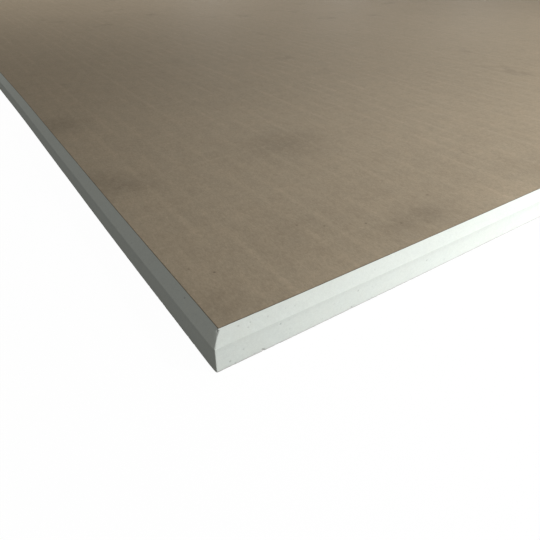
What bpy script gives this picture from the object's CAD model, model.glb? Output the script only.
"""Dresses the drywall sheet: one board lying flat, its brown back liner up, looked at over one corner.

The board is the three pieces it is made of. The gypsum core carries the sawn edges with their
chamfer, their pores and their small breaks. The kraft back liner carries the chamfer on to its own
thin cut edge, and the ivory face liner is the thin line at the foot.

Lengths are written in millimetres and multiplied by MM. Places on the board are measured from its
near corner, x along the front edge and y along the left edge.
"""

import logging
import math
from dataclasses import dataclass
from enum import Enum

import bpy
import numpy as np
from mathutils import Matrix, Vector


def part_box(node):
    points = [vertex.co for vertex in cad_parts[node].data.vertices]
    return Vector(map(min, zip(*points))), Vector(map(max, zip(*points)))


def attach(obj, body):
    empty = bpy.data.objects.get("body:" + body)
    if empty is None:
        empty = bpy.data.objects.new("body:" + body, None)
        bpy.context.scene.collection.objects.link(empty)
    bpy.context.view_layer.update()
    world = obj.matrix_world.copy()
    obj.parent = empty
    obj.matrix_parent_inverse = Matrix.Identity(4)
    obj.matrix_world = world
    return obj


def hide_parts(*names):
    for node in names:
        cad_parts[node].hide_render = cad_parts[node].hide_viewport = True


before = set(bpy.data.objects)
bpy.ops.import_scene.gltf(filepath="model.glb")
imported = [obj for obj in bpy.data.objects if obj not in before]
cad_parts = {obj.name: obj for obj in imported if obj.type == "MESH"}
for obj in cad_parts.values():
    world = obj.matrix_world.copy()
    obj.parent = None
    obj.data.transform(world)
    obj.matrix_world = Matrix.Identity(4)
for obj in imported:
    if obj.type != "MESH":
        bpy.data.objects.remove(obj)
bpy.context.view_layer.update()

log = logging.getLogger("drywall sheet")

MM = 0.001

Array = np.ndarray
Body = tuple[Array, list[list[int]], int]
Colour = tuple[float, float, float]
Socket = bpy.types.NodeSocket
Wire = bpy.types.NodeSocket | float | tuple[float, ...]
Wires = dict[str | int, Wire]


# ---------------------------------------------------------------------------------------------
# The board's sizes and the plan of its edge
# ---------------------------------------------------------------------------------------------


class Corner(Enum):
    """The four corners of the plan, anticlockwise from above: the signs of x and y."""

    NEAR = (-1.0, -1.0)
    RIGHT = (1.0, -1.0)
    FAR = (1.0, 1.0)
    LEFT = (-1.0, 1.0)


@dataclass(frozen=True)
class Spacing:
    """How closely stations stand: `fine` apart for `run`, then each step longer by `growth`."""

    fine: float
    run: float
    growth: float

    def stations(self, length: float) -> Array:
        """Distances from a corner: even steps, then s(k) = run + fine / growth * ((1 + growth)^k - 1).

        Args:
            length: the distance that the stations stay below.

        Returns:
            The distances, rising from 0.
        """
        even = np.arange(0.0, self.run - self.fine / 2, self.fine)
        reach = math.log1p((length - self.run) * self.growth / self.fine) / math.log1p(self.growth)
        steps = (1 + self.growth) ** np.arange(math.ceil(reach)) - 1
        return np.concatenate([even, self.run + self.fine / self.growth * steps])


@dataclass(frozen=True)
class BoardSizes:
    """The board's sizes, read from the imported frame, and how far its mitres and worn corners reach.

    The corners stand in from the nodes' sides by the side margin, and the left cut bows out by nearly
    as much.
    """

    half_width: float
    half_length: float
    foot: float
    core_foot: float
    core_top: float
    top: float
    liner_inset: float
    corner_radius: float = 0.2 * MM
    crease_radius: float = 0.28 * MM
    mitre_reach: float = 8.0 * MM
    side_margin: float = 0.3 * MM

    @classmethod
    def from_frame(cls) -> "BoardSizes":
        """Reads the three nodes' boxes."""
        core_low, core_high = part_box("gypsum_core")
        _back_low, back_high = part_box("back_liner")
        face_low, _face_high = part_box("face_liner")
        return cls(
            half_width=core_high.x - cls.side_margin,
            half_length=core_high.y,
            foot=face_low.z,
            core_foot=core_low.z,
            core_top=core_high.z,
            top=back_high.z,
            liner_inset=core_high.x - back_high.x,
        )

    @property
    def half(self) -> Array:
        """The middle's distance from the sides, along x and y."""
        return np.array([self.half_width, self.half_length])

    @property
    def chamfer_foot(self) -> float:
        """The height of the crease between the land and the chamfer."""
        return self.core_top - self.liner_inset

    @property
    def rim_inset(self) -> float:
        """How far in from the board's side the chamfer meets the back of the board."""
        return self.liner_inset + self.top - self.core_top

    def near(self, x: float, y: float) -> tuple[float, float]:
        """The plan place of a point measured from the near corner."""
        return x - self.half_width, y - self.half_length


@dataclass(frozen=True)
class EdgePlan:
    """The board's outline from above, and the same outline drawn in towards its middle.

    Stations stand closely round the near corner, where the edge shows its grain, and far apart elsewhere.
    """

    sizes: BoardSizes
    front: Spacing = Spacing(0.25 * MM, 70 * MM, 0.03)
    left: Spacing = Spacing(0.3 * MM, 40 * MM, 0.03)
    elsewhere: Spacing = Spacing(0.8 * MM, 4 * MM, 0.06)
    arc_steps: int = 4

    def outline(self) -> Array:
        """Goes round the board anticlockwise: along each edge, then round the corner at its end.

        A corner's arc is centre + radius * (direction * sin(turn) - inward * cos(turn)).

        Returns:
            Plan points, one row each, as a closed loop that starts after the near corner.
        """
        radius = self.sizes.corner_radius
        starts = list(Corner)
        turns = (np.linspace(0.0, math.pi / 2, self.arc_steps + 1)[1:-1])[:, None]
        loop = []
        for start, end in zip(starts, starts[1:] + starts[:1]):
            first, last = self.sizes.half * start.value, self.sizes.half * end.value
            direction = (last - first) / np.linalg.norm(last - first)
            inward = np.array([-direction[1], direction[0]])
            straight = float(np.linalg.norm(last - first)) - 2 * radius
            along = self._along(start, end, straight)
            loop.append(first + direction * (radius + along[:, None]))
            centre = last - direction * radius + inward * radius
            loop.append(centre + radius * (direction * np.sin(turns) - inward * np.cos(turns)))
        return np.concatenate(loop)

    def _along(self, start: Corner, end: Corner, length: float) -> Array:
        """Stations of one straight edge, graded from both of its ends to its middle."""
        before = self.front if start is Corner.NEAR else self.elsewhere
        after = self.left if end is Corner.NEAR else self.elsewhere
        return np.concatenate([before.stations(length / 2), length - after.stations(length / 2)[::-1]])

    def drawn_in(self, plan: Array, inset: Array) -> Array:
        """Moves plan points towards the middle: p - sign(p) * inset * exp(-(half - |p|) / reach).

        A point on a side moves in by the whole inset, and along the side only near a corner, so the
        stations of the chamfer's top stand over those of its foot and the corners are mitred.

        Args:
            plan: points of the outline, one row each.
            inset: how far each row of the profile lies in from the side, for all points or for each.

        Returns:
            Plan points with the shape (points, rows, 2).
        """
        inward = np.broadcast_to(inset, (len(plan), inset.shape[-1]))
        share = np.sign(plan) * np.exp(-(self.sizes.half - np.abs(plan)) / self.sizes.mitre_reach)
        return plan[:, None, :] - inward[..., None] * share[:, None, :]


@dataclass(frozen=True)
class Profile:
    """The section of an edge from its foot up: rows of inset, height and the way a dent goes in."""

    inset: Array
    height: Array
    lean: Array

    @classmethod
    def along(cls, points: list[tuple[float, float]], step: float) -> "Profile":
        """Sets rows about `step` apart on the polyline through (inset, height) points.

        The lean of a row is the angle of its inward normal below the level, 0 on an upright land and
        45 degrees on the chamfer, eased over the rows beside a bend.

        Args:
            points: the ends of the straight lines, from the foot up.
            step: the distance between rows.

        Returns:
            The section.
        """
        corners = np.array(points)
        lengths = np.linalg.norm(np.diff(corners, axis=0), axis=1)
        counts = np.maximum(1, np.round(lengths / step)).astype(int)
        spans = [np.linspace(0, 1, count, endpoint=False)[:, None] for count in counts]
        rows = [corners[i] + (corners[i + 1] - corners[i]) * span for i, span in enumerate(spans)]
        path = np.concatenate(rows + [corners[-1:]])
        slope = np.gradient(path, axis=0)
        return cls(path[:, 0], path[:, 1], np.arctan2(slope[:, 0], slope[:, 1]))


def crease_points(sizes: BoardSizes, steps: int = 3) -> list[tuple[float, float]]:
    """The worn bend between the land and the chamfer, an arc that touches both.

    The arc turns from upright to 45 degrees round a centre one radius in from the land:
    point = (radius * (1 - cos(turn)), start + radius * sin(turn)).

    Args:
        sizes: the board's sizes.
        steps: how many lines make the arc.

    Returns:
        (inset, height) points from the land up.
    """
    slope = math.pi / 4
    radius = sizes.crease_radius
    start = sizes.chamfer_foot - radius * math.tan(slope / 2)
    turns = [slope * k / steps for k in range(steps + 1)]
    return [(radius * (1 - math.cos(turn)), start + radius * math.sin(turn)) for turn in turns]


# ---------------------------------------------------------------------------------------------
# Wear of the sawn edge: waves, pores, breaks, and the near corner's worn arris
# ---------------------------------------------------------------------------------------------


def swell(points: Array, length: float, waves: int, seed: int) -> Array:
    """A smooth random surface: the mean of plane waves sin(2 pi * direction . p / length + phase).

    Args:
        points: places in metres, with their coordinates on the last axis.
        length: the wave length; the waves have from 0.7 to 1.4 of it.
        waves: how many waves are added.
        seed: the choice of directions, lengths and phases.

    Returns:
        Values about 0, mostly between -1 and 1, with the shape of the points.
    """
    rng = np.random.default_rng(seed)
    directions = rng.normal(size=(waves, points.shape[-1]))
    directions /= np.linalg.norm(directions, axis=1, keepdims=True)
    lengths = length * rng.uniform(0.7, 1.4, waves)
    phases = rng.uniform(0, 2 * math.pi, waves)
    angles = points @ (directions / lengths[:, None]).T * 2 * math.pi + phases
    return np.sin(angles).sum(-1) / math.sqrt(waves) / 1.5


@dataclass(frozen=True)
class Hollow:
    """A pore or a break in the edge: its place from the near corner, its reach and its depth."""

    x: float
    y: float
    z: float
    radius: float
    depth: float


@dataclass(frozen=True)
class Bend:
    """A long gentle bend of a cut: how far from the near corner, its reach, and how far it goes in."""

    at: float
    reach: float
    inset: float


class HollowSize(Enum):
    """The radius and depth of a hollow, in millimetres."""

    FAINT_PORE = (0.32, 0.07)
    PORE = (0.36, 0.09)
    DEEP_PORE = (0.42, 0.15)
    CHIP = (0.45, 0.11)
    DEEP_CHIP = (0.55, 0.22)

    def at(self, x: float, y: float, z: float) -> Hollow:
        """A hollow of this size."""
        return Hollow(x, y, z, *self.value)


def bowls(points: Array, hollows: list[Hollow], sizes: BoardSizes) -> Array:
    """How deep the hollows cut: depth * (1 - (r / radius)^2)^2 within the radius, where the deepest wins.

    Args:
        points: places in metres, with their coordinates on the last axis.
        hollows: the hollows, in millimetres from the near corner.
        sizes: the board's sizes.

    Returns:
        The depth at each point, in metres.
    """
    deepest = np.zeros(points.shape[:-1])
    for hollow in hollows:
        centre = np.array([*sizes.near(hollow.x * MM, hollow.y * MM), hollow.z * MM])
        share = ((points - centre) ** 2).sum(-1) / (hollow.radius * MM) ** 2
        deepest = np.maximum(deepest, hollow.depth * MM * np.clip(1 - share, 0, 1) ** 2)
    return deepest


@dataclass(frozen=True)
class EdgeWear:
    """What cutting and handling leave on the board's edge, shared by the core and both liners.

    Hollows are listed in millimetres from the near corner; others are strewn along the edges by seed.
    """

    sizes: BoardSizes
    wander: float = 0.05 * MM
    pores: tuple[Hollow, ...] = (
        HollowSize.DEEP_PORE.at(4.5, 0, 2),
        HollowSize.PORE.at(9, 0, 4.3),
        HollowSize.DEEP_PORE.at(21.6, 0, 7.6),
        HollowSize.FAINT_PORE.at(24.6, 0, 7.7),
        HollowSize.FAINT_PORE.at(25, 0, 4),
        HollowSize.FAINT_PORE.at(42, 0, 5.6),
        HollowSize.DEEP_PORE.at(52, 0, 6.5),
        HollowSize.DEEP_PORE.at(84.5, 0, 5.8),
        HollowSize.PORE.at(9, 2.4, 11.5),
        HollowSize.FAINT_PORE.at(11.6, 1.4, 10.5),
        HollowSize.PORE.at(12.7, 2.1, 11.2),
        HollowSize.FAINT_PORE.at(18.4, 1.8, 10.9),
        HollowSize.FAINT_PORE.at(27.8, 1.6, 10.7),
        HollowSize.PORE.at(60, 1.6, 10.7),
        HollowSize.DEEP_PORE.at(2.2, 22, 11.3),
    )
    breaks: tuple[Hollow, ...] = (
        Hollow(15.5, 0, 0.45, 0.55, 0.62),
        Hollow(15.8, 0, 0, 0.4, 0.16),
        Hollow(15.3, 0, 0.85, 0.27, 0.2),
        Hollow(16.1, 0, 0.7, 0.27, 0.2),
        HollowSize.CHIP.at(6.2, 0, 0.5),
        HollowSize.CHIP.at(12.6, 0, 0.5),
        HollowSize.CHIP.at(43, 0, 0.3),
        HollowSize.DEEP_CHIP.at(50, 0, 0.5),
        HollowSize.CHIP.at(59, 0, 0.4),
        HollowSize.CHIP.at(70.6, 0, 0.3),
        Hollow(3, 3.2, 12, 0.45, 0.3),
        Hollow(0, 0, 0, 0.45, 0.05),
    )
    strewn_pores: int = 60
    strewn_breaks: int = 26
    strewn_reach: tuple[float, float] = (95.0, 60.0)
    arris_heights: tuple[float, ...] = (0.0, 9.1, 10.8, 12.0, 12.5)
    arris_slides: tuple[float, ...] = (0.27, 0.22, 0.15, 0.32, 0.0)
    front_bends: tuple[Bend, ...] = (Bend(0, 18, 0.18), Bend(180, 60, 0.45))
    left_bends: tuple[Bend, ...] = (Bend(80, 65, -0.29), Bend(260, 60, 0.38))
    bow_reach: float = 3.0 * MM
    lip: float = 0.08 * MM
    lip_reach: float = 1.1 * MM
    foot_dirt: float = 0.115
    foot_dirt_reach: float = 1.6 * MM

    def strewn(
        self, count: int, seed: int, heights: tuple[float, float], radius: float, depth: float
    ) -> list[Hollow]:
        """Chance hollows on the front and left edges, as far from the near corner as the mesh is fine.

        Args:
            count: how many.
            seed: the choice of places and sizes.
            heights: the lowest and the greatest height in millimetres.
            radius: the mean radius in millimetres.
            depth: the mean depth in millimetres.

        Returns:
            The hollows.
        """
        rng = np.random.default_rng(seed)
        on_front = rng.uniform(0, 1, count) < 0.6
        distance = 2 + rng.uniform(0, 1, count) * np.where(on_front, *self.strewn_reach)
        height = rng.uniform(*heights, count)
        inset = np.maximum(0, height - self.sizes.chamfer_foot / MM)
        scale = rng.uniform(0.55, 1.3, count)
        return [
            Hollow(
                float(distance[i] if on_front[i] else inset[i]),
                float(inset[i] if on_front[i] else distance[i]),
                float(height[i]),
                float(radius * scale[i]),
                float(depth * scale[i]),
            )
            for i in range(count)
        ]

    def cut_line(self, points: Array) -> Array:
        """How far the cut wanders in from the true side, with its waves, its breaks and the crease's lip.

        The land stands back by the lip and comes forward to the crease over the lip's reach.

        Args:
            points: places in metres, with their coordinates on the last axis.

        Returns:
            The depth at each point, in metres.
        """
        waves = 0.6 * swell(points, 34 * MM, 7, 11) + 0.4 * swell(points, 7 * MM, 9, 12)
        small = self.strewn(self.strewn_breaks, 21, (-0.2, 0.3), 0.40, 0.09)
        wandering = self.wander * np.clip(0.5 + 0.5 * waves, 0, 1)
        below = (self.sizes.chamfer_foot - self.sizes.crease_radius - points[..., 2]) / self.lip_reach
        standing_back = self.lip * np.clip(below, 0, 1)
        return wandering + standing_back + bowls(points, list(self.breaks) + small, self.sizes)

    def pore_depth(self, points: Array) -> Array:
        """The depth of the pores of the core at each point."""
        top = self.sizes.core_top / MM
        small = self.strewn(self.strewn_pores, 22, (0.8, top - 0.4), 0.3, 0.045)
        return bowls(points, list(self.pores) + small, self.sizes)

    def broken(self, points: Array) -> Array:
        """The depth of the named breaks at each point, where dirt is held."""
        return bowls(points, list(self.breaks), self.sizes)

    def dirt(self, points: Array) -> Array:
        """The dirt at the foot of the core: foot dirt * e^(-height above the foot / reach), in patches."""
        above = points[..., 2] - self.sizes.core_foot
        patches = 1 + 0.3 * swell(points, 5 * MM, 8, 31)
        return self.foot_dirt * np.exp(-above / self.foot_dirt_reach) * patches

    def arris_slide(self, outline: Array, height: Array) -> Array:
        """How far the near corner's arris is worn over to the right.

        It is the slide at that height * exp(-x / 2 mm) * exp(-y / 1.2 mm), with x and y the distances
        along the outline from the near corner.

        Args:
            outline: points of the outline, one row each.
            height: heights with the shape (points, rows).

        Returns:
            The shift along x, in metres, with the shape of the heights.
        """
        away = outline + self.sizes.half
        fade = np.exp(-away[:, 0] / (2.0 * MM)) * np.exp(-away[:, 1] / (1.2 * MM))
        return np.interp(height / MM, self.arris_heights, self.arris_slides) * MM * fade[:, None]

    def bow(self, outline: Array) -> Array:
        """How far the front and left cuts stand back from straight lines, at each point of the outline.

        Each cut's inset is the sum of its bends, inset * e^(-((s - at) / reach)^2) at the distance s
        along it from the near corner, and fades as e^(-d / reach) with the distance d from the cut.

        Args:
            outline: points of the outline, one row each.

        Returns:
            The shifts along x and y, in metres, one row a point.
        """
        along_front, along_left = (outline + self.sizes.half).T
        from_left = self._bent_in(along_left, self.left_bends)
        from_front = self._bent_in(along_front, self.front_bends)
        fades = np.exp(-np.stack([along_front, along_left]) / self.bow_reach)
        return (MM * np.stack([from_left, from_front]) * fades).T

    @staticmethod
    def _bent_in(along: Array, bends: tuple[Bend, ...]) -> Array:
        """The sum of a cut's bends, in millimetres."""
        return sum(bend.inset * np.exp(-(((along / MM - bend.at) / bend.reach) ** 2)) for bend in bends)


def places(plan: EdgePlan, section: Profile) -> Array:
    """The true places of a section carried round the plan, with the shape (stations, rows, 3)."""
    true = plan.drawn_in(plan.outline(), section.inset)
    height = np.broadcast_to(section.height, true.shape[:2])
    return np.concatenate([true, height[..., None]], axis=-1)


def pressed(plan: EdgePlan, wear: EdgeWear, section: Profile, depth: Array) -> tuple[Array, Array]:
    """Carries a section round the plan and presses a depth into it along each row's normal.

    A point moves in by depth * cos(lean) and down by depth * sin(lean), and round the near corner it
    slides with the worn arris and the bow. The first and last rows keep their height, so the pieces stay
    joined.

    Args:
        plan: the board's outline.
        wear: the wear of its edge.
        section: the section.
        depth: how deep the wear is, with the shape (stations, rows).

    Returns:
        Plan points with the shape (stations, rows, 2), and heights with the shape (stations, rows).
    """
    outline = plan.outline()
    worn = plan.drawn_in(outline, section.inset + depth * np.cos(section.lean))
    sinks = np.zeros(len(section.height))
    sinks[1:-1] = np.sin(section.lean[1:-1])
    height = section.height - depth * sinks
    worn[..., 0] += wear.arris_slide(outline, height)
    worn += wear.bow(outline)[:, None, :]
    return worn, height


# ---------------------------------------------------------------------------------------------
# Meshes
# ---------------------------------------------------------------------------------------------


def wall_faces(stations: int, rows: int) -> Array:
    """Quads of a wall that runs once round: station i, row j is vertex i * rows + j, facing out."""
    i, j = np.meshgrid(np.arange(stations), np.arange(rows - 1), indexing="ij")
    after = (i + 1) % stations
    quads = np.stack([i * rows + j, after * rows + j, after * rows + j + 1, i * rows + j + 1], axis=-1)
    return quads.reshape(-1, 4)


def sweep(plan: Array, height: Array) -> Body:
    """Joins rows of plan points into one closed body, shut by a flat face at its foot and at its top.

    Args:
        plan: points with the shape (stations, rows, 2).
        height: their heights, with the shape (stations, rows).

    Returns:
        The vertices, the faces, and how many of the faces are walls.
    """
    stations, rows = height.shape
    vertices = np.concatenate([plan, height[..., None]], axis=-1).reshape(-1, 3)
    walls = wall_faces(stations, rows)
    foot = (np.arange(stations)[::-1] * rows).tolist()
    lid = (np.arange(stations) * rows + rows - 1).tolist()
    return vertices, walls.tolist() + [foot, lid], len(walls)


def make_piece(name: str, body: Body, marks: dict[str, Array]) -> bpy.types.Object:
    """Makes a piece whose walls are smooth, with a sharp edge round its two flat closing faces.

    Args:
        name: the piece's name.
        body: its vertices in metres, its faces with the walls first, and how many are walls.
        marks: values for each vertex that the finish reads, by name.

    Returns:
        The object, at the origin.
    """
    vertices, faces, walls = body
    mesh = bpy.data.meshes.new(name)
    mesh.from_pydata(vertices.tolist(), [], faces)
    mesh.polygons.foreach_set("use_smooth", np.arange(len(faces)) < walls)
    closing = np.zeros(len(vertices), bool)
    closing[np.concatenate(faces[walls:])] = True
    edges = np.empty(2 * len(mesh.edges), np.int32)
    mesh.edges.foreach_get("vertices", edges)
    mesh.edges.foreach_set("use_edge_sharp", closing[edges.reshape(-1, 2)].all(axis=1))
    for mark, values in marks.items():
        layer = mesh.attributes.new(mark, "FLOAT", "POINT")
        layer.data.foreach_set("value", values.ravel().astype(np.float32))
    mesh.validate()
    mesh.update()
    piece = bpy.data.objects.new(name, mesh)
    bpy.context.scene.collection.objects.link(piece)
    return piece


# ---------------------------------------------------------------------------------------------
# Node trees
# ---------------------------------------------------------------------------------------------


class Graph:
    """A node tree while it is being wired."""

    def __init__(self, tree: bpy.types.NodeTree) -> None:
        """Holds the tree."""
        self.tree = tree

    def add(self, kind: str, wires: Wires | None = None, **settings: object) -> bpy.types.Node:
        """Adds a node.

        Args:
            kind: the node's type.
            wires: its inputs, by name or place: a socket is linked, anything else is set on the input.
            settings: the node's own options.

        Returns:
            The node.
        """
        node = self.tree.nodes.new(kind)
        for option, value in settings.items():
            setattr(node, option, value)
        for name, value in (wires or {}).items():
            if isinstance(value, bpy.types.NodeSocket):
                self.tree.links.new(value, node.inputs[name])
            else:
                node.inputs[name].default_value = value
        return node

    def math(self, operation: str, a: Wire, b: Wire = 0.0, c: Wire = 0.0) -> Socket:
        """A Math node's result."""
        return self.add("ShaderNodeMath", {0: a, 1: b, 2: c}, operation=operation).outputs[0]

    def vector(self, operation: str, a: Wire, b: Wire = (0.0, 0.0, 0.0)) -> Socket:
        """A Vector Math node's vector."""
        return self.add("ShaderNodeVectorMath", {0: a, 1: b}, operation=operation).outputs[0]

    def measure(self, operation: str, a: Wire, b: Wire = (0.0, 0.0, 0.0)) -> Socket:
        """A Vector Math node's value, such as a distance or a dot product."""
        return self.add("ShaderNodeVectorMath", {0: a, 1: b}, operation=operation).outputs["Value"]

    def blend(self, share: Wire, a: Wire, b: Wire) -> Socket:
        """Mixes two colours.

        Args:
            share: 0 for colour a and 1 for colour b.
            a: the first colour.
            b: the second colour.

        Returns:
            The mixed colour.
        """
        node = self.add("ShaderNodeMix", data_type="RGBA")
        for name, value in (("Factor_Float", share), ("A_Color", a), ("B_Color", b)):
            socket = next(s for s in node.inputs if s.identifier == name)
            if isinstance(value, bpy.types.NodeSocket):
                self.tree.links.new(value, socket)
            else:
                socket.default_value = value if isinstance(value, float) else (*value, 1.0)
        return next(s for s in node.outputs if s.identifier == "Result_Color")

    def tint(self, colour: Wire, strength: Wire) -> Socket:
        """A colour times a value."""
        return self.add("ShaderNodeVectorMath", {0: colour, "Scale": strength}, operation="SCALE").outputs[0]

    def ease(self, value: Wire, low: Wire, high: Wire, to_low: float = 0.0, to_high: float = 1.0) -> Socket:
        """A smooth step of the value from low to high."""
        wires = {"Value": value, 1: low, 2: high, 3: to_low, 4: to_high}
        return self.add("ShaderNodeMapRange", wires, interpolation_type="SMOOTHSTEP").outputs["Result"]

    def noise(
        self, place: Wire, scale: Wire, detail: float = 0.0, roughness: float = 0.5, **more: Wire
    ) -> Socket:
        """A Noise Texture's value, about 0.5."""
        wires = {"Vector": place, "Scale": scale, "Detail": detail, "Roughness": roughness, **more}
        return self.add("ShaderNodeTexNoise", wires).outputs["Fac"]

    def mapped(self, place: Wire, scale: Colour = (1.0, 1.0, 1.0), shift: Colour = (0.0, 0.0, 0.0)) -> Socket:
        """A place scaled along each axis, then shifted."""
        return self.add("ShaderNodeMapping", {"Vector": place, "Scale": scale, "Location": shift}).outputs[0]


class Effect(Enum):
    """The shared effects, each one shader node group."""

    GRAIN = "grain"
    FLECKS = "flecks"
    FIBRES = "fibres"
    DRAWN_LINES = "drawn lines"
    WARM_AND_COOL = "warm and cool"


class Effects:
    """Builds each shared effect once and places it in the finishes."""

    def __init__(self) -> None:
        """Builds the groups."""
        self.groups = {
            Effect.GRAIN: self._grain(),
            Effect.FLECKS: self._flecks(),
            Effect.FIBRES: self._fibres(),
            Effect.DRAWN_LINES: self._drawn_lines(),
            Effect.WARM_AND_COOL: self._warm_and_cool(),
        }

    def place(self, graph: Graph, effect: Effect, wires: Wires) -> Socket:
        """Puts an effect into a finish.

        Args:
            graph: the finish's graph.
            effect: which effect.
            wires: its inputs, by name.

        Returns:
            Its one output.
        """
        node = graph.add("ShaderNodeGroup", node_tree=self.groups[effect])
        for name, value in wires.items():
            if isinstance(value, bpy.types.NodeSocket):
                graph.tree.links.new(value, node.inputs[name])
            else:
                node.inputs[name].default_value = value
        return node.outputs[0]

    @staticmethod
    def _group(
        effect: Effect, values: dict[str, float], output: str, kind: str = "NodeSocketFloat"
    ) -> tuple[Graph, dict[str, Socket], bpy.types.Node]:
        """Starts a group with a Place input, the named values and one output.

        Args:
            effect: the effect that the group makes.
            values: the other inputs and what they are unless they are set.
            output: the output's name.
            kind: the output's socket type.

        Returns:
            The group's graph, its inputs by name, and the node that takes its result.
        """
        tree = bpy.data.node_groups.new(effect.value, "ShaderNodeTree")
        tree.interface.new_socket("Place", in_out="INPUT", socket_type="NodeSocketVector")
        for name, value in values.items():
            socket = tree.interface.new_socket(name, in_out="INPUT", socket_type="NodeSocketFloat")
            socket.default_value = value
        tree.interface.new_socket(output, in_out="OUTPUT", socket_type=kind)
        graph = Graph(tree)
        entry = graph.add("NodeGroupInput")
        inputs = {name: entry.outputs[name] for name in ["Place", *values]}
        return graph, inputs, graph.add("NodeGroupOutput")

    def _grain(self) -> bpy.types.NodeTree:
        """Grain at every size from Size down: a factor about 1 that strays by Strength."""
        values = {"Size": 0.01, "Strength": 0.05, "Roughness": 0.8}
        graph, given, result = self._group(Effect.GRAIN, values, "Factor")
        scale = graph.math("DIVIDE", 1.0, given["Size"])
        value = graph.noise(given["Place"], scale, detail=6.0, roughness=given["Roughness"])
        stray = graph.math("MULTIPLY", graph.math("SUBTRACT", value, 0.5), given["Strength"])
        graph.tree.links.new(graph.math("MULTIPLY_ADD", stray, 2.0, 1.0), result.inputs[0])
        return graph.tree

    def _flecks(self) -> bpy.types.NodeTree:
        """Small round flecks in a Share of cells that are Spacing apart: 1 on a fleck and 0 off it."""
        values = {"Spacing": 0.02, "Radius": 0.0003, "Share": 0.5}
        graph, given, result = self._group(Effect.FLECKS, values, "Mask")
        scale = graph.math("DIVIDE", 1.0, given["Spacing"])
        cells = graph.add("ShaderNodeTexVoronoi", {"Vector": given["Place"], "Scale": scale})
        chance = graph.add("ShaderNodeSeparateColor", {0: cells.outputs["Color"]})
        reach = graph.math("MULTIPLY", cells.outputs["Distance"], given["Spacing"])
        radius = graph.math("MULTIPLY", given["Radius"], graph.math("ADD", chance.outputs[1], 0.4))
        inner = graph.math("MULTIPLY", radius, 0.4)
        spot = graph.math("SUBTRACT", 1.0, graph.ease(reach, inner, radius))
        picked = graph.math("LESS_THAN", chance.outputs[0], given["Share"])
        graph.tree.links.new(graph.math("MULTIPLY", spot, picked), result.inputs[0])
        return graph.tree

    def _fibres(self) -> bpy.types.NodeTree:
        """Short bent fibres, lines of equal height of a noise, broken up: 1 on a fibre and 0 off it."""
        values = {"Length": 0.003, "Width": 0.02, "Share": 0.5}
        graph, given, result = self._group(Effect.FIBRES, values, "Mask")
        scale = graph.math("DIVIDE", 1.0, given["Length"])
        bent = graph.noise(given["Place"], scale, detail=1.0, roughness=0.4, Distortion=0.5)
        away = graph.math("ABSOLUTE", graph.math("SUBTRACT", bent, 0.5))
        line = graph.math("SUBTRACT", 1.0, graph.ease(away, 0.0, given["Width"]))
        other = graph.mapped(given["Place"], shift=(0.37, 0.11, 0.05))
        chance = graph.noise(other, graph.math("MULTIPLY", scale, 1.9), detail=1.0)
        limit = graph.math("SUBTRACT", 0.85, graph.math("MULTIPLY", given["Share"], 0.6))
        kept = graph.ease(chance, limit, graph.math("ADD", limit, 0.08))
        graph.tree.links.new(graph.math("MULTIPLY", line, kept), result.inputs[0])
        return graph.tree

    def _drawn_lines(self) -> bpy.types.NodeTree:
        """Straight lines at every Pitch along x, unevenly strong along their length: a factor about 1."""
        values = {"Pitch": 0.0098, "Width": 0.0015, "Strength": 0.03}
        graph, given, result = self._group(Effect.DRAWN_LINES, values, "Factor")
        drift = graph.noise(graph.mapped(given["Place"], (20.0, 6.0, 1.0)), 1.0, detail=1.0)
        along = graph.add("ShaderNodeSeparateXYZ", {0: given["Place"]}).outputs[0]
        shifted = graph.math("MULTIPLY_ADD", graph.math("SUBTRACT", drift, 0.5), 0.0012, along)
        count = graph.math("DIVIDE", shifted, given["Pitch"])
        edge = graph.math("DIVIDE", given["Width"], given["Pitch"])
        line = graph.math("SUBTRACT", 1.0, graph.ease(graph.math("PINGPONG", count, 0.5), 0.0, edge))
        each = graph.add("ShaderNodeTexWhiteNoise", {"W": graph.math("ROUND", count)}, noise_dimensions="1D")
        line = graph.math("MULTIPLY", line, graph.math("MULTIPLY_ADD", each.outputs[0], 0.8, 0.6))
        uneven = graph.noise(graph.mapped(given["Place"], (90.0, 26.0, 1.0)), 1.0, detail=2.0)
        patches = graph.ease(uneven, 0.2, 0.8)
        amount = graph.math("MULTIPLY", graph.math("MULTIPLY", line, patches), given["Strength"])
        graph.tree.links.new(graph.math("ADD", amount, 1.0), result.inputs[0])
        return graph.tree

    def _warm_and_cool(self) -> bpy.types.NodeTree:
        """Patches a little warmer and a little cooler, from Size down: a colour about white."""
        values = {"Size": 0.012, "Amount": 0.01}
        graph, given, result = self._group(Effect.WARM_AND_COOL, values, "Tint", "NodeSocketColor")
        other = graph.mapped(given["Place"], shift=(0.53, 0.29, 0.17))
        scale = graph.math("DIVIDE", 1.0, given["Size"])
        value = graph.noise(other, scale, detail=4.0, roughness=0.7)
        stray = graph.math("MULTIPLY", graph.math("MULTIPLY_ADD", value, 8.0, -4.0), given["Amount"])
        red = graph.math("ADD", 1.0, stray)
        blue = graph.math("SUBTRACT", 1.0, stray)
        tint = graph.add("ShaderNodeCombineColor", {0: red, 1: 1.0, 2: blue})
        graph.tree.links.new(tint.outputs[0], result.inputs[0])
        return graph.tree


def new_material(name: str) -> tuple[bpy.types.Material, Graph, bpy.types.Node, Socket]:
    """Starts a material with one Principled BSDF.

    Args:
        name: the material's name.

    Returns:
        The material, its graph, its Principled BSDF and the Object coordinates.
    """
    material = bpy.data.materials.new(name)
    material.use_nodes = True
    graph = Graph(material.node_tree)
    graph.tree.nodes.clear()
    shader = graph.add("ShaderNodeBsdfPrincipled")
    output = graph.add("ShaderNodeOutputMaterial")
    graph.tree.links.new(shader.outputs[0], output.inputs["Surface"])
    place = graph.add("ShaderNodeTexCoord").outputs["Object"]
    return material, graph, shader, place


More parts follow.
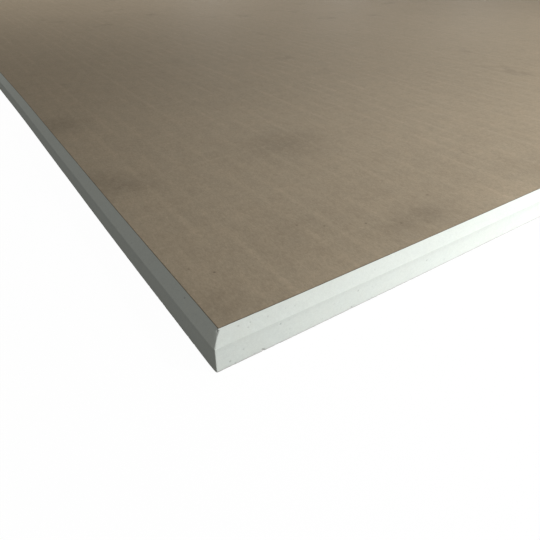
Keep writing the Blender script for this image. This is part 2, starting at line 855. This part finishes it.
# ---------------------------------------------------------------------------------------------
# Finishes
# ---------------------------------------------------------------------------------------------


class Darkening(Enum):
    """How far a stain darkens the paper at its middle; below 0 it lightens it."""

    FAINT = 0.06
    CLEAR = 0.12
    STRONG = 0.18
    FAINT_LIGHT = -0.06
    CLEAR_LIGHT = -0.12


@dataclass(frozen=True)
class Stain:
    """A soft stain on a paper: its place from the near corner and its widths, in millimetres."""

    x: float
    y: float
    wide: float
    long: float
    strength: Darkening


@dataclass(frozen=True)
class Fleck:
    """A small dark inclusion in a paper, in millimetres from the near corner."""

    x: float
    y: float
    radius: float
    strength: float


@dataclass(frozen=True)
class Accent:
    """A drawn line that is `extra` times stronger than the rest at the board's edge, and less along it."""

    at: float
    extra: float
    reach: float


@dataclass(frozen=True)
class LineSet:
    """Light lines that the making drew into a paper: where they start, how far apart, and where they jump."""

    start: float
    pitch: float
    width: float
    strength: float
    jumps: tuple[tuple[float, float], ...] = ()
    accents: tuple[Accent, ...] = ()

    def factor(self, graph: Graph, effects: Effects, place: Socket) -> Socket:
        """Places the lines across x.

        Args:
            graph: the finish's graph.
            effects: the shared effects.
            place: a place whose x is measured from the near corner.

        Returns:
            A factor about 1.
        """
        along = graph.add("ShaderNodeSeparateXYZ", {0: place}).outputs[0]
        shift = -self.start * MM
        for at, share in self.jumps:
            past = graph.math("GREATER_THAN", along, at * MM)
            shift = graph.math("MULTIPLY_ADD", past, -share * self.pitch * MM, shift)
        moved = graph.vector("ADD", place, graph.add("ShaderNodeCombineXYZ", {0: shift}).outputs[0])
        strength = self._strength(graph, place)
        values = {"Pitch": self.pitch * MM, "Width": self.width * MM, "Strength": strength}
        return effects.place(graph, Effect.DRAWN_LINES, {"Place": moved, **values})

    def _strength(self, graph: Graph, place: Socket) -> Wire:
        """The lines' strength * (1 + sum of extra * e^(-((x - at) / 3 mm)^2 - (y / reach)^2))."""
        strength = self.strength
        for accent in self.accents:
            away = graph.vector("SUBTRACT", place, (accent.at * MM, 0.0, 0.0))
            away = graph.vector("MULTIPLY", away, (1 / (3 * MM), 1 / (accent.reach * MM), 0.0))
            bell = graph.math("POWER", math.exp(-1), graph.measure("DOT_PRODUCT", away, away))
            strength = graph.math("MULTIPLY_ADD", bell, accent.extra * self.strength, strength)
        return strength


@dataclass(frozen=True)
class PaperFinish:
    """A liner paper: its colour, how uneven it is, and what lies on it."""

    name: str
    colour: Colour
    cut_colour: Colour
    dust_colour: Colour
    fleck_colour: Colour
    grain: float
    fine_grain: float
    cloud: float
    warmth: float
    fibres: float
    roughness: float
    along: LineSet
    across: LineSet
    stains: tuple[Stain, ...] = ()
    flecks: tuple[Fleck, ...] = ()
    sheen: float = 0.2
    light_fibres: float = 0.7
    named_reach: float = 210 * MM
    chance_reach: float = 300 * MM
    chance_stains: float = 0.16
    stain_sway: float = 11 * MM

    def material(self, effects: Effects, sizes: BoardSizes) -> bpy.types.Material:
        """Builds the paper: grain, fibres, drawn lines, stains and flecks, and its dusty cut edge.

        Args:
            effects: the shared effects.
            sizes: the board's sizes, for the named places.

        Returns:
            The material.
        """
        material, graph, shader, place = new_material(self.name)
        from_corner = graph.mapped(place, shift=(sizes.half_width, sizes.half_length, 0.0))
        drawn = graph.mapped(place, scale=(1.0, 0.5, 1.0))
        values = {"Size": 0.005, "Strength": self.grain, "Roughness": 1.0}
        tone = effects.place(graph, Effect.GRAIN, {"Place": drawn, **values})
        values = {"Size": 0.0009, "Strength": self.fine_grain, "Roughness": 1.0}
        tone = graph.math("MULTIPLY", tone, effects.place(graph, Effect.GRAIN, {"Place": drawn, **values}))
        values = {"Size": 0.09, "Strength": self.cloud, "Roughness": 0.55}
        tone = graph.math("MULTIPLY", tone, effects.place(graph, Effect.GRAIN, {"Place": place, **values}))
        tone = graph.math("MULTIPLY", tone, self._lines(graph, effects, from_corner))
        tone = graph.math("MULTIPLY", tone, self._stained(graph, from_corner))
        dark, light = self._fibre_masks(graph, effects, drawn)
        tone = graph.math("MULTIPLY", tone, graph.math("MULTIPLY_ADD", dark, -self.fibres, 1.0))
        lighter = self.fibres * self.light_fibres
        tone = graph.math("MULTIPLY", tone, graph.math("MULTIPLY_ADD", light, lighter, 1.0))
        tint = effects.place(graph, Effect.WARM_AND_COOL, {"Place": place, "Amount": self.warmth})
        colour = graph.tint(graph.vector("MULTIPLY", tint, self.colour), tone)
        colour = graph.blend(self._fleck_mask(graph, effects, from_corner), colour, self.fleck_colour)
        cut = graph.add("ShaderNodeAttribute", attribute_name="cut").outputs["Fac"]
        dust = graph.add("ShaderNodeAttribute", attribute_name="dust").outputs["Fac"]
        colour = graph.blend(dust, graph.blend(cut, colour, self.cut_colour), self.dust_colour)
        graph.tree.links.new(colour, shader.inputs["Base Color"])
        shader.inputs["Roughness"].default_value = self.roughness
        shader.inputs["Specular IOR Level"].default_value = self.sheen
        self._raise_fibres(graph, place, dark, light, shader)
        return material

    def _lines(self, graph: Graph, effects: Effects, from_corner: Socket) -> Socket:
        """The lines along the board and the weaker ones across it."""
        parts = graph.add("ShaderNodeSeparateXYZ", {0: from_corner}).outputs
        turned = graph.add("ShaderNodeCombineXYZ", {0: parts[1], 1: parts[0], 2: parts[2]}).outputs[0]
        along = self.along.factor(graph, effects, from_corner)
        return graph.math("MULTIPLY", along, self.across.factor(graph, effects, turned))

    def _beyond(self, graph: Graph, from_corner: Socket) -> Socket:
        """1 away from the near corner, where chance takes over from the named places."""
        flat = graph.vector("MULTIPLY", from_corner, (1.0, 1.0, 0.0))
        return graph.ease(graph.measure("LENGTH", flat), self.named_reach, self.chance_reach)

    def _stained(self, graph: Graph, from_corner: Socket) -> Socket:
        """What the named stains and chance ones leave of the paper's lightness.

        A stain darkens by strength * e^(-r^2), with r the distance in its own widths; stains add up to
        d and leave e^(-d). Noise bends the places, which makes the rims ragged, and mottles the stains.

        Args:
            graph: the finish's graph.
            from_corner: places measured from the near corner.

        Returns:
            A factor.
        """
        bend = graph.add("ShaderNodeTexNoise", {"Vector": from_corner, "Scale": 190.0, "Detail": 3.0})
        sway = graph.vector("SUBTRACT", bend.outputs["Color"], (0.5, 0.5, 0.5))
        sway = graph.tint(sway, self.stain_sway)
        bent = graph.vector("ADD", from_corner, sway)
        total = 0.0
        for stain in self.stains:
            across = graph.vector("SUBTRACT", bent, (stain.x * MM, stain.y * MM, 0.0))
            across = graph.vector("MULTIPLY", across, (1 / (stain.wide * MM), 1 / (stain.long * MM), 0.0))
            bell = graph.math("POWER", math.exp(-1), graph.measure("DOT_PRODUCT", across, across))
            total = graph.math("MULTIPLY_ADD", bell, stain.strength.value, total)
        chance = graph.ease(graph.noise(from_corner, 26.0, detail=3.0, roughness=0.6), 0.6, 0.78)
        beyond = graph.math("MULTIPLY", self._beyond(graph, from_corner), self.chance_stains)
        total = graph.math("MULTIPLY_ADD", chance, beyond, total)
        mottle = graph.noise(from_corner, 420.0, detail=3.0, roughness=0.7)
        mottle = graph.math("MULTIPLY_ADD", mottle, 2.2, -0.1)
        return graph.math("POWER", math.exp(-1), graph.math("MULTIPLY", total, mottle))

    def _fleck_mask(self, graph: Graph, effects: Effects, from_corner: Socket) -> Socket:
        """Where dark flecks lie: the named ones, small ones everywhere, and larger ones further away.

        Args:
            graph: the finish's graph.
            effects: the shared effects.
            from_corner: places measured from the near corner.

        Returns:
            1 on a dark fleck and 0 off it.
        """
        values = {"Spacing": 0.005, "Radius": 0.00022, "Share": 0.5}
        small = effects.place(graph, Effect.FLECKS, {"Place": from_corner, **values})
        values = {"Spacing": 0.018, "Radius": 0.00042, "Share": 0.6}
        large = effects.place(graph, Effect.FLECKS, {"Place": from_corner, **values})
        large = graph.math("MULTIPLY", large, graph.math("MULTIPLY", self._beyond(graph, from_corner), 0.6))
        mask = graph.math("MAXIMUM", graph.math("MULTIPLY", small, 0.16), large)
        flat = graph.vector("MULTIPLY", from_corner, (1.0, 1.0, 0.0))
        for fleck in self.flecks:
            away = graph.measure("DISTANCE", flat, (fleck.x * MM, fleck.y * MM, 0.0))
            spot = graph.ease(away, 0.1 * fleck.radius * MM, fleck.radius * MM, fleck.strength, 0.0)
            mask = graph.math("MAXIMUM", mask, spot)
        return mask

    def _fibre_masks(self, graph: Graph, effects: Effects, place: Socket) -> tuple[Socket, Socket]:
        """Where dark fibres and light fibres lie.

        Args:
            graph: the finish's graph.
            effects: the shared effects.
            place: places on the paper, drawn out along the sheet.

        Returns:
            The mask of the dark fibres and the mask of the light ones.
        """
        values = {"Length": 0.0032, "Width": 0.022, "Share": 0.55}
        dark = effects.place(graph, Effect.FIBRES, {"Place": place, **values})
        other = graph.mapped(place, shift=(0.21, 0.43, 0.0))
        values = {"Length": 0.0044, "Width": 0.016, "Share": 0.6}
        light = effects.place(graph, Effect.FIBRES, {"Place": other, **values})
        return dark, light

    def _raise_fibres(
        self, graph: Graph, place: Socket, dark: Socket, light: Socket, shader: bpy.types.Node
    ) -> None:
        """Raises the paper's matted fibres a few hundredths of a millimetre."""
        matted = graph.noise(place, 2200.0, detail=4.0, roughness=0.7, Distortion=0.6)
        lying = graph.math("MULTIPLY", graph.math("ADD", dark, light), 0.5)
        height = graph.math("ADD", matted, lying)
        bump = graph.add("ShaderNodeBump", {"Height": height, "Strength": 0.25, "Distance": 0.00008})
        graph.tree.links.new(bump.outputs[0], shader.inputs["Normal"])


@dataclass(frozen=True)
class GypsumFinish:
    """The cut gypsum: chalky white with a faint green tint, clouded, with dark pores."""

    name: str
    colour: Colour
    pore_colour: Colour
    grain: float
    fine_grain: float
    cloud: float
    warmth: float
    roughness: float

    def material(self, effects: Effects) -> bpy.types.Material:
        """Builds the gypsum: clouds, grain, fine pores by chance, and the hollows of the mesh darkened.

        Args:
            effects: the shared effects.

        Returns:
            The material.
        """
        material, graph, shader, place = new_material(self.name)
        values = {"Size": 0.006, "Strength": self.grain, "Roughness": 0.95}
        tone = effects.place(graph, Effect.GRAIN, {"Place": place, **values})
        values = {"Size": 0.03, "Strength": self.cloud, "Roughness": 0.5}
        tone = graph.math("MULTIPLY", tone, effects.place(graph, Effect.GRAIN, {"Place": place, **values}))
        values = {"Size": 0.0011, "Strength": self.fine_grain, "Roughness": 1.0}
        tone = graph.math("MULTIPLY", tone, effects.place(graph, Effect.GRAIN, {"Place": place, **values}))
        values = {"Spacing": 0.0042, "Radius": 0.00024, "Share": 0.35}
        pores = effects.place(graph, Effect.FLECKS, {"Place": place, **values})
        hollow = graph.add("ShaderNodeAttribute", attribute_name="hollow").outputs["Fac"]
        mask = graph.math("MAXIMUM", graph.math("MULTIPLY", pores, 0.15), hollow)
        tint = effects.place(graph, Effect.WARM_AND_COOL, {"Place": place, "Amount": self.warmth})
        colour = graph.tint(graph.vector("MULTIPLY", tint, self.colour), tone)
        colour = graph.blend(mask, colour, self.pore_colour)
        graph.tree.links.new(colour, shader.inputs["Base Color"])
        shader.inputs["Roughness"].default_value = self.roughness
        shader.inputs["Specular IOR Level"].default_value = 0.2
        rough = graph.noise(place, 1500.0, detail=4.0, roughness=0.7)
        height = graph.math("SUBTRACT", rough, graph.math("MULTIPLY", pores, 0.8))
        bump = graph.add("ShaderNodeBump", {"Height": height, "Strength": 0.2, "Distance": 0.00012})
        graph.tree.links.new(bump.outputs[0], shader.inputs["Normal"])
        return material


GYPSUM = GypsumFinish(
    name="gypsum",
    colour=(0.775, 0.81, 0.755),
    pore_colour=(0.22, 0.23, 0.205),
    grain=0.06,
    fine_grain=0.20,
    cloud=0.025,
    warmth=0.004,
    roughness=0.9,
)

KRAFT = PaperFinish(
    name="kraft paper",
    colour=(0.450, 0.365, 0.259),
    cut_colour=(0.125, 0.102, 0.073),
    dust_colour=(0.775, 0.81, 0.755),
    fleck_colour=(0.12, 0.095, 0.07),
    grain=0.34,
    fine_grain=0.54,
    cloud=0.05,
    warmth=0.005,
    fibres=0.07,
    roughness=0.82,
    along=LineSet(
        start=1.2,
        pitch=9.8,
        width=2.2,
        strength=0.075,
        jumps=((47, 0.5), (102, 0.5), (144, 0.3)),
        accents=(
            Accent(11, 0.6, 80),
            Accent(31, 1.0, 40),
            Accent(55, 2.0, 40),
            Accent(128, 0.5, 60),
        ),
    ),
    across=LineSet(
        start=0.8,
        pitch=10.3,
        width=2.1,
        strength=0.028,
        jumps=((99, 0.2),),
        accents=(Accent(52, 1.3, 150), Accent(106, 1.3, 150)),
    ),
    stains=(
        Stain(97, 105, 20, 16, Darkening.STRONG),
        Stain(16, 102, 10, 8, Darkening.CLEAR),
        Stain(5, 110, 10, 14, Darkening.STRONG),
        Stain(82, 15, 9, 5, Darkening.CLEAR),
        Stain(100, 15, 10, 7, Darkening.STRONG),
        Stain(6, 12, 10, 9, Darkening.CLEAR),
        Stain(8, 193, 16, 14, Darkening.STRONG),
        Stain(175, 16, 16, 14, Darkening.FAINT),
        Stain(49, 31, 16, 14, Darkening.FAINT),
        Stain(140, 4, 26, 14, Darkening.CLEAR_LIGHT),
        Stain(50, 4, 30, 10, Darkening.FAINT_LIGHT),
    ),
    flecks=(
        Fleck(15, 27, 0.7, 0.7),
        Fleck(76, 23, 0.7, 0.6),
        Fleck(113, 26, 0.9, 0.5),
        Fleck(62, 30, 0.7, 0.5),
        Fleck(11, 102, 0.9, 0.4),
        Fleck(54, 36, 0.7, 0.5),
        Fleck(9, 33, 0.6, 0.4),
        Fleck(87, 16, 0.8, 0.5),
    ),
)

IVORY = PaperFinish(
    name="ivory face paper",
    colour=(0.70, 0.70, 0.65),
    cut_colour=(0.605, 0.59, 0.56),
    dust_colour=(0.775, 0.81, 0.755),
    fleck_colour=(0.4, 0.37, 0.31),
    grain=0.07,
    fine_grain=0.03,
    cloud=0.02,
    warmth=0.003,
    fibres=0.02,
    roughness=0.75,
    along=LineSet(1.2, 9.8, 1.5, 0.012),
    across=LineSet(0.8, 10.3, 1.3, 0.008),
)


# ---------------------------------------------------------------------------------------------
# The board's pieces
# ---------------------------------------------------------------------------------------------


@dataclass
class GypsumCore:
    """The core: the land, the worn crease and the chamfer, carried round all four edges."""

    sizes: BoardSizes
    plan: EdgePlan
    wear: EdgeWear
    row_step: float = 0.25 * MM

    def build(self) -> bpy.types.Object:
        """Sweeps the edge's section round the plan, with the cut's wander, the breaks and the pores."""
        foot = (0.0, self.sizes.core_foot)
        rim = (self.sizes.liner_inset, self.sizes.core_top)
        section = Profile.along([foot, *crease_points(self.sizes), rim], self.row_step)
        place = places(self.plan, section)
        pores = self.wear.pore_depth(place)
        body = sweep(*pressed(self.plan, self.wear, section, self.wear.cut_line(place) + pores))
        hollow = pores / (0.25 * MM) + self.wear.broken(place) / (0.4 * MM) + self.wear.dirt(place)
        return make_piece("core_of_gypsum", body, {"hollow": np.clip(hollow, 0, 0.85)})

    def dress(self, piece: bpy.types.Object, effects: Effects) -> None:
        """Gives the core its gypsum."""
        piece.data.materials.append(GYPSUM.material(effects))
        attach(piece, "root")
        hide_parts("gypsum_core")


@dataclass
class Liner:
    """A liner paper: its cut edge, flush with the core's, and its face, soft at the rim.

    Each row of the section is (inset, height, lean, cut, dust).
    """

    sizes: BoardSizes
    plan: EdgePlan
    wear: EdgeWear
    name: str
    node: str
    slot: str
    finish: PaperFinish
    rows: tuple[tuple[float, float, float, float, float], ...]

    def build(self) -> bpy.types.Object:
        """Sweeps the paper's section round the plan; its outer rows wander with the core's cut."""
        inset, height, lean, cut, dust = np.array(self.rows).T
        section = Profile(inset, height, lean)
        place = places(self.plan, section)
        body = sweep(*pressed(self.plan, self.wear, section, self.wear.cut_line(place)))
        marks = {"cut": np.broadcast_to(cut, place.shape[:2]), "dust": np.broadcast_to(dust, place.shape[:2])}
        return make_piece(self.name, body, marks)

    def dress(self, piece: bpy.types.Object, effects: Effects) -> None:
        """Gives the liner its paper."""
        piece.data.materials.append(self.finish.material(effects, self.sizes))
        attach(piece, "root")
        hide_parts(self.node)


def back_liner(sizes: BoardSizes, plan: EdgePlan, wear: EdgeWear) -> Liner:
    """The kraft back liner: dust covers most of its cut, and a thin edge of bare fibre shows at the rim.

    Args:
        sizes: the board's sizes.
        plan: its outline.
        wear: the wear of its edge.

    Returns:
        The liner, not yet built.
    """
    rim, top = sizes.rim_inset, sizes.top
    slope = math.pi / 4
    return Liner(
        sizes=sizes,
        plan=plan,
        wear=wear,
        name="liner_of_kraft",
        node="back_liner",
        slot="kraft_paper",
        finish=KRAFT,
        rows=(
            (sizes.liner_inset, sizes.core_top, slope, 1.0, 1.0),
            (rim - 0.03 * MM, top - 0.03 * MM, slope, 1.0, 1.0),
            (rim - 0.01 * MM, top - 0.01 * MM, slope, 1.0, 0.6),
            (rim + 0.04 * MM, top - 0.002 * MM, slope / 2, 1.0, 0.0),
            (rim + 0.17 * MM, top, 0.0, 1.0, 0.0),
            (rim + 0.30 * MM, top, 0.0, 0.0, 0.0),
            (rim + 0.60 * MM, top, 0.0, 0.0, 0.0),
            (rim + 3.00 * MM, top, 0.0, 0.0, 0.0),
        ),
    )


def face_liner(sizes: BoardSizes, plan: EdgePlan, wear: EdgeWear) -> Liner:
    """The ivory face liner under the core, flush with the land.

    Args:
        sizes: the board's sizes.
        plan: its outline.
        wear: the wear of its edge.

    Returns:
        The liner, not yet built.
    """
    return Liner(
        sizes=sizes,
        plan=plan,
        wear=wear,
        name="liner_of_ivory",
        node="face_liner",
        slot="face_paper",
        finish=IVORY,
        rows=(
            (0.05 * MM, sizes.foot, 0.0, 0.3, 0.0),
            (0.0, sizes.foot + 0.04 * MM, 0.0, 1.0, 0.0),
            (0.0, sizes.core_foot, 0.0, 1.0, 0.3),
        ),
    )


# ---------------------------------------------------------------------------------------------
# Studio
# ---------------------------------------------------------------------------------------------


@dataclass(frozen=True)
class Camera:
    """The camera over the near corner: its place from that corner and the way it looks."""

    x: float = -37.933 * MM
    y: float = -81.730 * MM
    height: float = 100.270 * MM
    heading: float = math.radians(34.275)
    dip: float = math.radians(35.944)
    roll: float = math.radians(0.362)
    lens: float = 31.432
    sensor: float = 36.0

    def build(self, sizes: BoardSizes) -> None:
        """Makes the camera: it looks along (sin heading cos dip, cos heading cos dip, -sin dip)."""
        data = bpy.data.cameras.new("camera")
        data.lens = self.lens
        data.sensor_width = self.sensor
        data.clip_start = 5 * MM
        data.clip_end = 200.0
        camera = bpy.data.objects.new("camera", data)
        bpy.context.scene.collection.objects.link(camera)
        level = math.cos(self.dip)
        look = Vector((math.sin(self.heading) * level, math.cos(self.heading) * level, -math.sin(self.dip)))
        side = look.cross(Vector((0, 0, 1))).normalized()
        rise = side.cross(look)
        right = side * math.cos(self.roll) + rise * math.sin(self.roll)
        up = rise * math.cos(self.roll) - side * math.sin(self.roll)
        turn = Matrix((right, up, -look)).transposed()
        place = Vector((*sizes.near(self.x, self.y), self.height))
        camera.matrix_world = Matrix.Translation(place) @ turn.to_4x4()
        bpy.context.scene.camera = camera


@dataclass(frozen=True)
class Lamp:
    """A soft-edged spot: its place and aim in millimetres from the near corner, its cone and its power."""

    name: str
    place: tuple[float, float, float]
    aim: tuple[float, float]
    cone: float
    watts: float
    tint: Colour = (1.0, 1.0, 1.0)
    radius: float = 40 * MM
    softness: float = 1.0

    def build(self, sizes: BoardSizes) -> None:
        """Sets the spot at its place, turned to its aim half way up the board's edge."""
        light = bpy.data.lights.new(self.name, "SPOT")
        light.energy = self.watts
        light.color = self.tint
        light.spot_size = math.radians(self.cone)
        light.spot_blend = self.softness
        light.shadow_soft_size = self.radius
        place = Vector((*sizes.near(self.place[0] * MM, self.place[1] * MM), self.place[2] * MM))
        aim = Vector((*sizes.near(self.aim[0] * MM, self.aim[1] * MM), sizes.top / 2))
        set_light(self.name, light, place, aim)


def set_light(name: str, light: bpy.types.Light, place: Vector, aim: Vector) -> bpy.types.Object:
    """Puts a light at a place, turned to an aim.

    Args:
        name: the lamp's name.
        light: its data.
        place: where it stands.
        aim: the point that it faces.

    Returns:
        The lamp.
    """
    lamp = bpy.data.objects.new(name, light)
    bpy.context.scene.collection.objects.link(lamp)
    turn = (aim - place).to_track_quat("-Z", "Y").to_matrix().to_4x4()
    lamp.matrix_world = Matrix.Translation(place) @ turn
    return lamp


KEY_TINT: Colour = (0.985, 1.0, 1.012)


@dataclass(frozen=True)
class Studio:
    """The floor, the even sky, three keys in front, and fills that stop short of the near corner.

    The keys leave the left edge and its chamfer to the sky and the floor, and grow along the front edge.
    The four fills overhead and the four beside the board make the rest of the sheet as light as that corner.
    """

    floor_size: float = 60.0
    floor_gap: float = 0.05 * MM
    sky: float = 0.213
    bounce: float = 0.103
    ambient_tint: Colour = (1.0, 0.997, 0.967)
    under_power: float = 2.5
    under_inset: float = 0.6 * MM
    under_gap: float = 2.0 * MM
    under_spread: float = math.radians(2.0)
    floor_glow: float = 0.98
    floor_matt: Colour = (0.03, 0.03, 0.03)
    lamps: tuple[Lamp, ...] = (
        Lamp("high key", (750, -670, 700), (730, -480), 103, 42, KEY_TINT, 50 * MM, 0.47),
        Lamp("small key", (180, -400, 85), (140, -395), 160, 3, KEY_TINT, 50 * MM, 0.17),
        Lamp("low key", (1450, -1550, 370), (860, -820), 24, 440, KEY_TINT, 50 * MM, 0.52),
        Lamp("fill over the left", (260, 1080, 1800), (260, 1080), 55, 46),
        Lamp("fill over the right", (1300, 1000, 1800), (1300, 1000), 46, 40),
        Lamp("fill over the far left", (-200, 2200, 1800), (-200, 2200), 60, 45),
        Lamp("fill over the far right", (1000, 2050, 1800), (1000, 2050), 57, 43),
        Lamp("fill from the front", (500, -2500, 200), (800, -500), 27, 71),
        Lamp("fill from the back", (3100, 5900, 200), (800, 1800), 103, 237),
        Lamp("fill from back right", (4500, 5000, 200), (800, 1800), 103, 237),
        Lamp("fill from the right", (5500, 3800, 200), (800, 1800), 103, 237),
    )

    def build(self, sizes: BoardSizes) -> None:
        """Makes the lights and the floor."""
        self._sky()
        self._floor(sizes)
        for lamp in self.lamps:
            lamp.build(sizes)
        self._under(sizes)
        bpy.context.scene.view_settings.view_transform = "Standard"

    def _sky(self) -> None:
        """An even sky: white to the camera, and the ambient light to everything else."""
        world = bpy.data.worlds.new("studio sky")
        world.use_nodes = True
        graph = Graph(world.node_tree)
        graph.tree.nodes.clear()
        seen = graph.add("ShaderNodeBackground", {"Color": (1, 1, 1, 1), "Strength": 1.0})
        lights = graph.add("ShaderNodeBackground", {"Color": (*self.ambient_tint, 1), "Strength": self.sky})
        ray = graph.add("ShaderNodeLightPath").outputs["Is Camera Ray"]
        mix = graph.add("ShaderNodeMixShader", {0: ray, 1: lights.outputs[0], 2: seen.outputs[0]})
        output = graph.add("ShaderNodeOutputWorld", {"Surface": mix.outputs[0]})
        output.is_active_output = True
        bpy.context.scene.world = world

    def _floor(self, sizes: BoardSizes) -> None:
        """A pale floor: nearly white to the camera, a dim even bounce to the board, open from below."""
        half = self.floor_size / 2
        level = sizes.foot - self.floor_gap
        mesh = bpy.data.meshes.new("floor")
        corners = [(-half, -half, level), (half, -half, level), (half, half, level), (-half, half, level)]
        mesh.from_pydata(corners, [], [(0, 1, 2, 3)])
        floor = bpy.data.objects.new("floor", mesh)
        bpy.context.scene.collection.objects.link(floor)
        material = bpy.data.materials.new("pale floor")
        material.use_nodes = True
        graph = Graph(material.node_tree)
        graph.tree.nodes.clear()
        path = graph.add("ShaderNodeLightPath")
        glow = graph.add("ShaderNodeEmission", {"Color": (1, 1, 1, 1), "Strength": self.floor_glow})
        matt = graph.add("ShaderNodeBsdfDiffuse", {"Color": (*self.floor_matt, 1)})
        seen = graph.add("ShaderNodeAddShader", {0: glow.outputs[0], 1: matt.outputs[0]})
        bounce = graph.add("ShaderNodeEmission", {"Color": (*self.ambient_tint, 1), "Strength": self.bounce})
        for_camera = path.outputs["Is Camera Ray"]
        shown = graph.add("ShaderNodeMixShader", {0: for_camera, 1: bounce.outputs[0], 2: seen.outputs[0]})
        clear = graph.add("ShaderNodeBsdfTransparent")
        back = graph.add("ShaderNodeNewGeometry").outputs["Backfacing"]
        open_ray = graph.math("MAXIMUM", back, path.outputs["Is Shadow Ray"])
        mix = graph.add("ShaderNodeMixShader", {0: open_ray, 1: shown.outputs[0], 2: clear.outputs[0]})
        graph.add("ShaderNodeOutputMaterial", {"Surface": mix.outputs[0]})
        mesh.materials.append(material)

    def _under(self, sizes: BoardSizes) -> None:
        """A light straight up from just below the floor, as large as the board's underside."""
        light = bpy.data.lights.new("under light", "AREA")
        light.shape = "RECTANGLE"
        light.size = 2 * (sizes.half_width - self.under_inset)
        light.size_y = 2 * (sizes.half_length - self.under_inset)
        light.spread = self.under_spread
        light.energy = self.under_power * light.size * light.size_y
        lamp = set_light("under light", light, Vector((0, 0, sizes.foot - self.under_gap)), Vector((0, 0, 0)))
        lamp.visible_camera = False


# ---------------------------------------------------------------------------------------------
# The scene
# ---------------------------------------------------------------------------------------------


def main() -> None:
    """Builds the board's pieces, the camera and the studio."""
    logging.basicConfig(level=logging.INFO, format="%(name)s: %(message)s")
    sizes = BoardSizes.from_frame()
    Camera().build(sizes)
    plan = EdgePlan(sizes)
    wear = EdgeWear(sizes)
    effects = Effects()
    for part in (GypsumCore(sizes, plan, wear), back_liner(sizes, plan, wear), face_liner(sizes, plan, wear)):
        piece = part.build()
        part.dress(piece, effects)
        log.info("%s: %d vertices, %d faces", piece.name, len(piece.data.vertices), len(piece.data.polygons))
    Studio().build(sizes)


if __name__ == "__main__":
    main()
